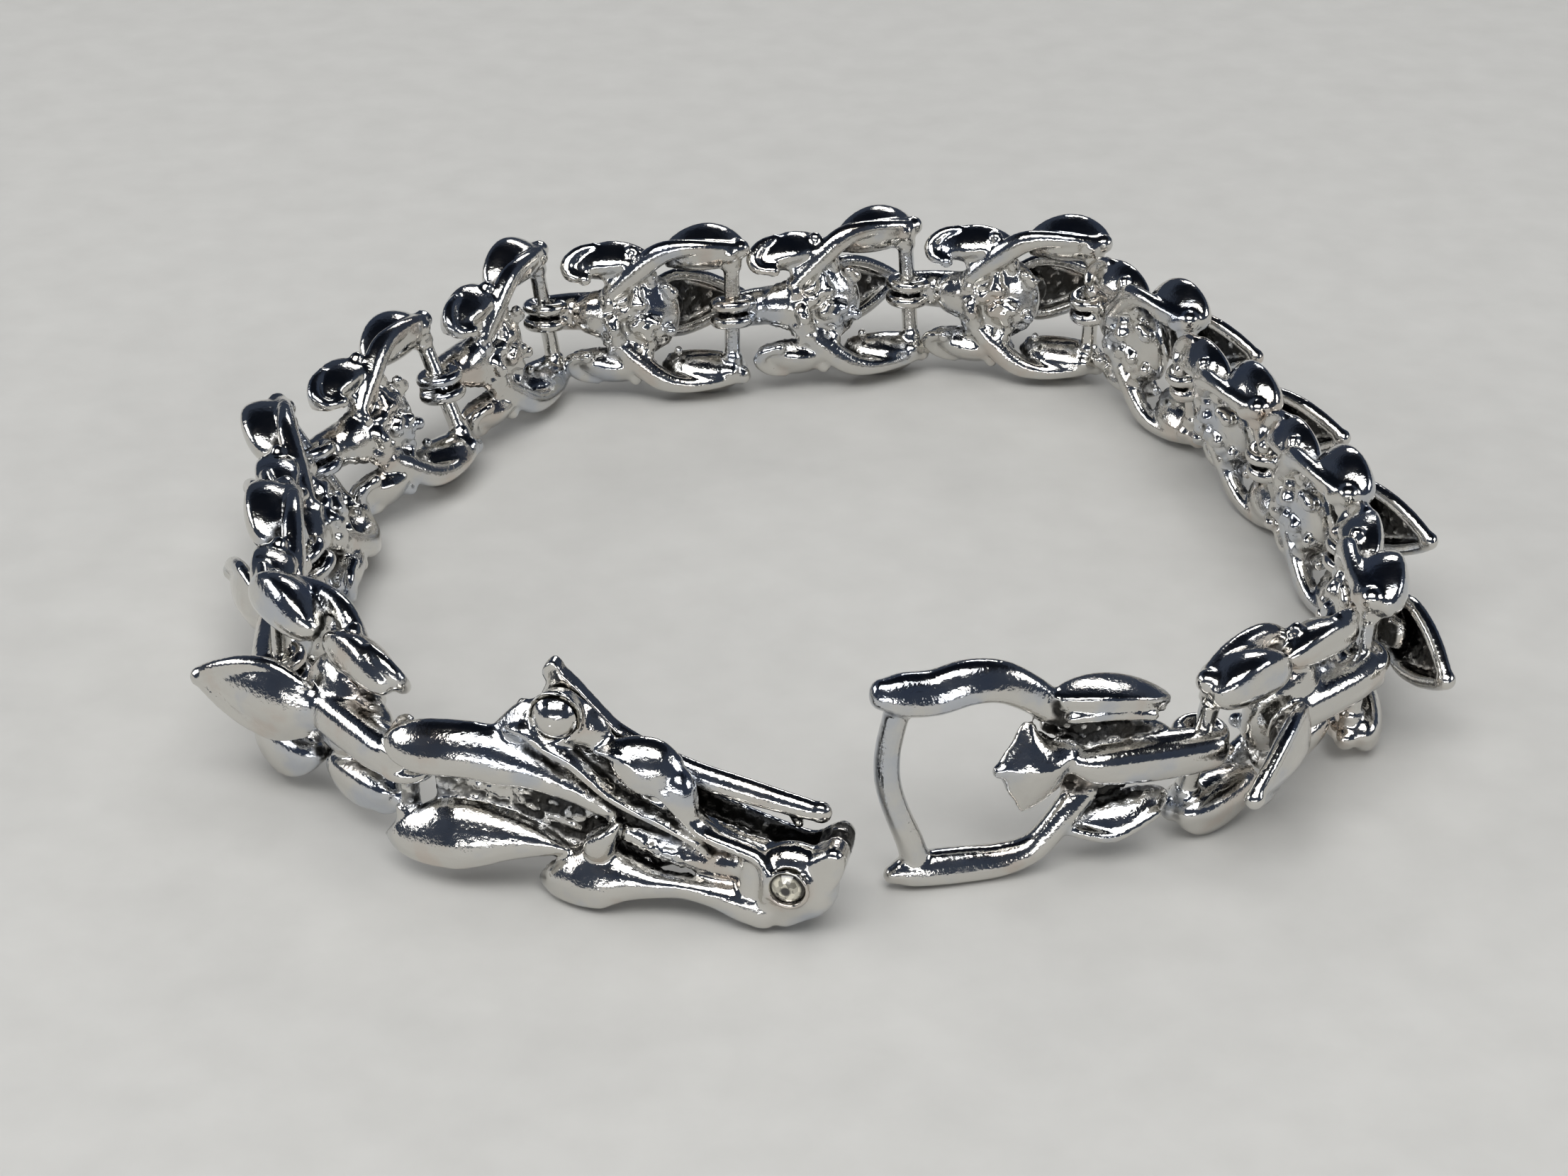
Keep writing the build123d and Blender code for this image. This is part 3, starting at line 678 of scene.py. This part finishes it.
# Head, drawn with u toward the snout
head = {
    "voxel": 0.14,
    "recessReach": 2.4,
    "facing": (0, 0.85, 0.53),       # the relief leans back, so it mirrors the room rather than the floor
    "pivot": (8.66, 11.35),
    "stone": (20.7, 3.36),
    "back": [(1.5, 8.2), (2.4, 8.6), (5.2, 8.6), (6.8, 9.4), (7.8, 11.4), (8.25, 11.95), (9.05, 11.95),
             (9.5, 11.4), (10.6, 9.4), (12.2, 8.4), (14.0, 7.6), (15.0, 6.8), (16.4, 6.1), (18.4, 5.4),
             (20.0, 4.9), (21.2, 4.6), (21.8, 4.8), (22.2, 5.2), (23.0, 5.5), (23.5, 5.0), (23.3, 4.0),
             (22.6, 2.6), (21.5, 0.9), (20.6, 0.3), (19.0, 0.9), (17.4, 1.8), (14.5, 2.2), (12.0, 1.8),
             (9.7, 1.4), (8.0, 2.4), (5.0, 2.5), (2.8, 2.7), (1.5, 3.9)],
    "jaw": [(6.0, 9.2), (6.7, 10.5), (7.3, 11.5), (8.1, 12.2), (9.2, 12.25), (10.1, 11.7), (10.7, 10.6),
            (11.3, 9.6), (12.6, 9.4), (14.0, 8.6), (14.8, 7.4), (16.2, 5.9), (18.4, 5.1), (20.0, 4.8),
            (21.2, 4.6), (22.2, 5.1), (23.0, 5.4), (23.5, 4.9), (23.3, 4.0), (22.6, 2.6), (21.5, 0.9),
            (20.6, 0.4), (19.0, 1.2), (18.4, 2.6), (17.6, 3.6), (15.6, 4.2), (13.6, 5.2), (12.0, 6.0),
            (10.0, 7.0), (7.8, 8.0), (6.2, 8.6)],
    "slot": [(6.7, 15.0), (21.9, 15.0), (21.9, 7.4), (21.8, 4.2), (21.4, 3.5), (20.3, 3.0), (19.3, 3.0),
             (18.9, 4.2), (17.5, 4.6), (14.3, 5.5), (12.5, 6.4), (10.5, 7.4), (7.9, 9.0), (6.7, 10.0)],
    "snout": [(18.2, 4.9), (20.0, 4.7), (21.3, 4.6), (22.0, 5.1), (22.9, 5.7), (23.5, 5.1), (23.4, 4.0),
              (22.7, 2.6), (21.4, 0.9), (20.4, 0.3), (19.0, 0.7), (17.8, 1.4)],
    "lobe": [(-0.85, 0.61, 7.94, 0.4, 0.32), (-0.07, 1.02, 8.07, 1.05, 0.64),
             (1.27, 1.3, 8.23, 1.45, 0.86), (3.02, 1.42, 8.42, 1.5, 0.93),
             (4.43, 1.42, 8.42, 1.5, 0.93), (5.63, 1.4, 8.11, 1.4, 0.86), (6.91, 1.31, 7.75, 1.1, 0.77),
             (8.29, 1.24, 7.15, 0.85, 0.7), (9.4, 1.18, 6.62, 0.66, 0.62),
             (10.4, 1.12, 6.02, 0.56, 0.55), (11.1, 1.1, 5.6, 0.42, 0.5)],
    "ear": [(5.0, 0.8, 9.0, 0.5, 0.45), (6.3, 0.85, 9.95, 0.95, 0.55), (7.4, 0.95, 10.6, 1.2, 0.62),
            (8.8, 1.0, 10.8, 1.35, 0.62), (10.0, 0.95, 10.4, 1.15, 0.58), (10.8, 0.85, 9.6, 0.7, 0.45)],
    "ridgeA": [(6.0, 1.3, 9.9, 0.2, 0.4), (6.87, 1.55, 10.15, 0.42, 0.6), (8.19, 1.75, 9.47, 0.42, 0.7),
               (9.3, 1.8, 8.94, 0.4, 0.7), (10.28, 1.8, 8.12, 0.38, 0.7),
               (11.27, 1.75, 7.21, 0.36, 0.68), (12.34, 1.7, 6.55, 0.34, 0.65),
               (13.6, 1.65, 5.95, 0.32, 0.6), (14.85, 1.6, 5.3, 0.3, 0.55),
               (15.74, 1.55, 4.7, 0.26, 0.5), (16.44, 1.5, 4.0, 0.18, 0.4)],
    "ridgeC": [(10.6, 1.3, 9.3, 0.2, 0.4), (11.84, 1.6, 9.4, 0.32, 0.6), (12.96, 1.75, 8.8, 0.34, 0.68),
               (14.04, 1.8, 7.75, 0.34, 0.68), (15.11, 1.8, 6.6, 0.34, 0.65),
               (16.19, 1.8, 5.55, 0.36, 0.62), (17.65, 1.8, 5.0, 0.4, 0.6),
               (18.94, 1.85, 4.6, 0.42, 0.6), (19.69, 1.9, 3.93, 0.4, 0.6)],
    "brow": [(10.78, 0.81, 9.14, 0.2, 0.32), (11.28, 1.1, 9.29, 0.62, 0.58),
             (12.25, 1.29, 9.09, 1.25, 0.83), (13.37, 1.41, 8.77, 1.54, 0.9),
             (14.17, 1.29, 8.34, 1.3, 0.83)],
    "browLow": [(13.96, 1.14, 8.34, 0.9, 0.7), (14.69, 1.44, 7.86, 1.0, 0.83),
                (15.12, 1.5, 7.03, 0.8, 0.86), (15.56, 1.41, 6.05, 0.55, 0.77),
                (16.35, 1.32, 5.37, 0.46, 0.64), (17.52, 1.3, 4.89, 0.36, 0.58),
                (18.98, 1.28, 4.35, 0.42, 0.51)],
    "spike": [(-1.18, 0.28, 1.91, 0.28, 0.28), (-0.37, 0.7, 2.23, 1.0, 0.58),
              (1.01, 0.99, 2.62, 1.6, 0.83), (2.64, 1.13, 3.13, 2.0, 0.96),
              (4.18, 1.13, 3.27, 1.8, 0.96), (5.7, 1.11, 3.31, 1.34, 0.9),
              (7.2, 1.06, 3.15, 0.85, 0.77), (8.67, 0.9, 2.77, 0.3, 0.58)],
    "cheek": [(7.54, 0.85, 0.86, 0.55, 0.45), (8.24, 1.14, 1.11, 1.1, 0.7),
              (9.52, 1.42, 1.57, 1.6, 0.93), (10.7, 1.48, 1.91, 1.8, 0.96),
              (12.01, 1.47, 1.92, 1.3, 0.93), (13.33, 1.45, 1.78, 0.85, 0.86),
              (14.91, 1.44, 1.8, 0.65, 0.83), (16.59, 1.45, 1.68, 0.78, 0.86),
              (18.0, 1.52, 1.52, 1.08, 0.93), (19.31, 1.53, 1.31, 1.2, 0.96)],
    "thorn": [(10.6, 1.4, 3.7, 0.9, 0.95), (11.3, 1.6, 4.6, 0.5, 0.8), (11.71, 1.6, 5.2, 0.2, 0.4)],
    "bed": [(11.9, 0.65, 4.2, 0.5, 0.4), (13.5, 0.65, 3.75, 0.8, 0.45), (15.2, 0.75, 3.4, 0.8, 0.5),
            (16.8, 0.95, 3.3, 0.8, 0.65), (18.2, 1.2, 3.5, 0.8, 0.7)],
    "gritRows": [(0.5, [(2.4, 6.6), (5.0, 6.6), (7.0, 6.25), (8.8, 5.65), (10.6, 4.75)]),
                 (0.5, [(3.8, 5.75), (5.4, 5.35), (6.9, 4.95), (8.2, 4.3), (9.4, 3.9)]),
                 (0.48, [(4.6, 6.2), (6.4, 5.85), (8.0, 5.2), (9.8, 4.5)]),
                 (1.05, [(10.6, 8.95), (11.85, 8.14), (13.2, 6.95), (14.6, 5.8)]),
                 (1.05, [(11.6, 7.15), (13.5, 6.1), (15.2, 5.15)]),
                 (1.2, [(13.0, 3.75), (15.3, 3.3), (16.8, 3.2)])],
    "fold": [(18.89, 1.7, 4.58, 0.3, 0.5), (19.5, 2.1, 4.2, 0.36, 0.6), (19.62, 2.25, 3.3, 0.36, 0.6),
             (19.4, 2.0, 2.2, 0.3, 0.5)],
    # Each plate fills y from the first value to the second; the third is its bevel.
    "plates": {"back": (-1.25, 0.45, 0.3), "jaw": (0.2, 1.0, 0.25), "snout": (-1.2, 2.15, 0.6)},
    "mound": ((-20.7, 1.2, 2.9), (2.4, 1.4, 2.3)),
    "pivotBoss": {"from": 0.6, "to": 2.05, "radius": 1.05, "flare": 1.4},
    "stoneRing": {"level": 2.72, "major": 1.02, "minor": 0.14},
    "bar": {"from": 3.0, "to": 9.0, "radius": 0.5},
    "collars": {"spans": ((2.8, 3.8), (7.6, 8.6)), "shift": 0.1, "radius": 0.7},
    "slotHalfWidth": 0.67,
    "rivetSeat": {"from": 1.75, "to": 4.0, "radius": 1.38},
    "stoneSeat": {"from": 1.7, "to": 5.0, "radius": 0.9},
    "grit": {"seed": 5, "spacing": 0.55, "along": (0.2, 0.8), "across": 0.12, "radius": (0.2, 0.28)},
    # Where the relief's floor and the slot get painted shade, and how far it is taken off round the grit
    # beads.
    "hollow": {"shine": (0.22, 0.34), "floor": (0.52, 0.66), "turned": (0.3, 0.8), "slotSide": (0.6, 0.75),
               "slotFrom": (5.5, 7.0), "slotAbove": (4.0, 5.0), "floorDark": 0.4, "slotDark": 0.9,
               "shineBright": 0.7},
}


# Here u toward the snout is the piece's own -x.
def mirrored(rows):
    return [(-row[0], *row[1:]) for row in rows]


# Grit beads left by the casting along each groove; gives their places.
def addGrit(bm):
    grit = head["grit"]
    chance = random.Random(grit["seed"])
    beads = []
    for level, line in head["gritRows"]:
        for (u1, z1), (u2, z2) in zip(line, line[1:]):
            count = round(sqrt((u2 - u1) ** 2 + (z2 - z1) ** 2) / grit["spacing"])
            for k in range(count):
                t = (k + chance.uniform(*grit["along"])) / count
                stray = chance.uniform(-grit["across"], grit["across"])
                spot = (-(u1 + (u2 - u1) * t), level, z1 + (z2 - z1) * t + stray)
                addBead(bm, spot, chance.uniform(*grit["radius"]))
                beads.append(spot)
    return beads


def buildHead():
    bm = bmesh.new()
    for key, (low, high, bevel) in head["plates"].items():
        addPlate(bm, mirrored(head[key]), low, high, bevel)
    for key in ("ridgeA", "ridgeC", "fold"):
        addStrand(bm, mirrored(head[key]), square=1.15)
    for key in ("lobe", "brow", "browLow", "spike", "cheek", "thorn", "bed"):
        addStrand(bm, mirrored(head[key]), facing=head["facing"])
    addBead(bm, *head["mound"])
    u, z = head["pivot"]
    addStrand(bm, mirrored(head["ear"]), facing=head["facing"])
    boss = head["pivotBoss"]
    addRod(bm, (-u, boss["from"], z), (-u, boss["to"], z), boss["radius"], flare=boss["flare"])
    su, sz = head["stone"]
    ring = head["stoneRing"]
    addRing(bm, (-su, ring["level"], sz), (0, 1, 0), ring["major"], ring["minor"])
    bar = head["bar"]
    addRod(bm, (0, 0, bar["from"]), (0, 0, bar["to"]), bar["radius"])
    collars = head["collars"]
    shift = collars["shift"]
    for low, high in collars["spans"]:
        addRod(bm, (shift, shift, low), (shift, shift, high), collars["radius"])
    beads = addGrit(bm)
    cut = bmesh.new()
    addPlate(cut, mirrored(head["slot"]), -head["slotHalfWidth"], head["slotHalfWidth"])
    drill = bmesh.new()
    seat = head["rivetSeat"]
    addRod(drill, (-u, seat["from"], z), (-u, seat["to"], z), seat["radius"])
    socket = bmesh.new()
    seat = head["stoneSeat"]
    addRod(socket, (-su, seat["from"], sz), (-su, seat["to"], sz), seat["radius"])
    mesh = fuse(bm, "head", head["voxel"] * fine, (cut, drill, socket))
    for vert in mesh.vertices:                     # the chin rests just clear of the floor
        vert.co.z = max(vert.co.z, floorGap)
    tree = KDTree(len(beads))
    for number, spot in enumerate(beads):
        tree.insert(spot, number)
    tree.balance()
    markRecesses(mesh, head["recessReach"],
                 lambda spot, normal: headHollowShade(spot, normal, tree.find(spot)[2]))
    return mesh


# Painted shade on the floor of the relief and on the slot's walls; it is taken off the grit beads, so they
# show bright.
def headHollowShade(spot, normal, beadDistance):
    hollow = head["hollow"]
    shine = 1 - softStep(*hollow["shine"], beadDistance)
    flat = 1 - softStep(*hollow["floor"], spot.y)
    slot = ((1 - softStep(*hollow["slotSide"], abs(spot.y))) * softStep(*hollow["slotFrom"], -spot.x)
            * softStep(*hollow["slotAbove"], spot.z))
    return (hollow["floorDark"] * flat * softStep(*hollow["turned"], normal.y)
            + hollow["slotDark"] * slot - hollow["shineBright"] * shine)


headPlace = lay(*band["start"], 0.0, band["headHeading"])
finished(buildHead(), "castDragonHead", headPlace, castSilver, "band", "cast_metal", "dragon_head")
print("head cast")

# Gate lever
gate = {
    "voxel": 0.1,
    "recessReach": 1.5,
    "halfThickness": 0.44,
    "bevel": 0.08,
    "tab": [(7.45, 10.6), (7.45, 11.6), (7.75, 12.3), (7.5, 12.9), (7.7, 13.3), (8.05, 13.6),
            (8.4, 13.4), (8.65, 12.95), (9.3, 12.35), (10.4, 11.1), (11.6, 9.8), (11.2, 9.1),
            (9.9, 9.8), (8.66, 9.8)],
    "armFacing": (0, 0.87, 0.5),
    "arm": [(10.6, 0, 10.0, 0.62, 0.42), (12.0, 0, 9.1, 0.65, 0.42), (13.5, 0, 8.4, 0.67, 0.42),
            (15.5, 0, 7.7, 0.68, 0.42), (17.5, 0, 7.24, 0.68, 0.42), (19.5, 0, 6.82, 0.62, 0.42),
            (21.4, 0, 6.45, 0.55, 0.42)],
    "endBall": ((-21.8, 0, 6.42), (0.62, 0.5, 0.62)),
    "nib": [(20.3, 0, 6.5, 0.34, 0.34), (20.7, 0, 5.6, 0.28, 0.3)],
    "hole": {"halfLength": 2, "radius": 0.47},
}


def buildGate():
    bm = bmesh.new()
    addPlate(bm, mirrored(gate["tab"]), -gate["halfThickness"], gate["halfThickness"], gate["bevel"])
    addStrand(bm, mirrored(gate["arm"]), facing=gate["armFacing"])
    addBead(bm, *gate["endBall"])
    addStrand(bm, mirrored(gate["nib"]))
    hole = bmesh.new()
    u, z = head["pivot"]
    addRod(hole, (-u, -gate["hole"]["halfLength"], z), (-u, gate["hole"]["halfLength"], z),
           gate["hole"]["radius"])
    mesh = fuse(bm, "gate", gate["voxel"] * fine, (hole,))
    markRecesses(mesh, gate["recessReach"])
    return mesh


finished(buildGate(), "castGateLever", headPlace, castSilver, "lever", "cast_metal", "gate_lever")
print("gate cast")

for name, material in (("hinge_pin", castSilver), ("eye_stone", stone)):
    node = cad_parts[name]
    for place in node.material_slots:
        place.material = material

# Floor, light and camera, in metres
floorHalfWidth = 1.5
floorMesh = bpy.data.meshes.new("floor")
bm = bmesh.new()
bmesh.ops.create_grid(bm, x_segments=1, y_segments=1, size=floorHalfWidth)
bm.to_mesh(floorMesh)
bm.free()
floor = bpy.data.objects.new("floor", floorMesh)
bpy.context.scene.collection.objects.link(floor)
floorMesh.materials.append(makePaper())

# Softboxes, each aimed at the middle of the scene
studio = {
    "key": {"place": (-0.08, -0.36, 0.60), "size": (0.75, 0.32), "watts": 3.6, "glossy": True},
    "front": {"place": (-0.10, -0.80, 0.14), "size": (0.8, 0.12), "watts": 1.3, "glossy": True},
    "left": {"place": (-0.7, 0.05, 0.30), "size": (0.5, 0.25), "watts": 1.4, "glossy": True},
    "right": {"place": (0.75, -0.15, 0.32), "size": (0.4, 0.25), "watts": 1.1, "glossy": True},
    "back": {"place": (0.15, 0.8, 0.5), "size": (0.35, 0.18), "watts": 1.0, "glossy": True},
    "top": {"place": (0.05, 0.10, 0.8), "size": (0.7, 0.7), "watts": 2.4, "glossy": False},
}
for name, lamp in studio.items():
    data = bpy.data.lights.new(name + "Softbox", "AREA")
    data.shape = "RECTANGLE"
    data.size, data.size_y = lamp["size"]
    data.energy = lamp["watts"]
    light = bpy.data.objects.new(name + "Softbox", data)
    light.location = lamp["place"]
    light.rotation_euler = (-Vector(lamp["place"])).to_track_quat("-Z", "Y").to_euler()
    light.visible_glossy = lamp["glossy"]
    bpy.context.scene.collection.objects.link(light)

# Dark blue-grey walls with soft clouding, darker above
studioRoom = {
    "wall": "#394150",
    "ceiling": "#0F131B",
    "clouds": {"Scale": 3.5, "Detail": 3.0},
    "cloudSwing": 0.5,
    "gloom": {"From Min": 0.45, "From Max": 0.85, "interpolation_type": "SMOOTHSTEP"},
}
world = bpy.data.worlds.new("studioRoom")
world.use_nodes = True
room = world.node_tree
room.nodes.clear()
ray = addNode(room, "ShaderNodeTexCoord").outputs["Generated"]
upward = addNode(room, "ShaderNodeSeparateXYZ", {}, {0: ray}).outputs["Z"]
cloud = addNode(room, "ShaderNodeTexNoise", studioRoom["clouds"], {"Vector": ray}).outputs["Fac"]
swing = studioRoom["cloudSwing"]
mottled = addNode(room, "ShaderNodeMath", {"operation": "MULTIPLY_ADD", 1: swing, 2: -swing / 2},
                  {0: cloud}).outputs[0]
lift = addNode(room, "ShaderNodeMath", {"operation": "ADD"}, {0: upward, 1: mottled}).outputs[0]
gloom = addNode(room, "ShaderNodeMapRange", studioRoom["gloom"], {"Value": lift}).outputs["Result"]
walls = addNode(room, "ShaderNodeMix", {"data_type": "RGBA", 6: linear(studioRoom["wall"]),
                                        7: linear(studioRoom["ceiling"])}, {0: gloom}).outputs[2]
glow = addNode(room, "ShaderNodeBackground", {"Strength": 1.0}, {"Color": walls})
addNode(room, "ShaderNodeOutputWorld", {}, {"Surface": glow.outputs[0]})
bpy.context.scene.world = world

view = {
    "away": (0, -0.1618, 0.0897),    # 185 mm from the middle of the band, 29 degrees up
    "sensorWidth": 36.0,             # mm, as is the focal length
    "focalLength": 69.25,
    "clipStart": 0.01,
}
lens = bpy.data.cameras.new("camera")
camera = bpy.data.objects.new("camera", lens)
target = Vector((band["shift"][0] * metresPerMm, band["shift"][1] * metresPerMm, 0.0))
camera.location = target + Vector(view["away"])
camera.rotation_euler = (target - camera.location).to_track_quat("-Z", "Y").to_euler()
lens.sensor_width = view["sensorWidth"]
lens.lens = view["focalLength"]
lens.clip_start = view["clipStart"]
bpy.context.scene.collection.objects.link(camera)
bpy.context.scene.camera = camera
bpy.context.scene.view_settings.view_transform = "Standard"
print("stage set")
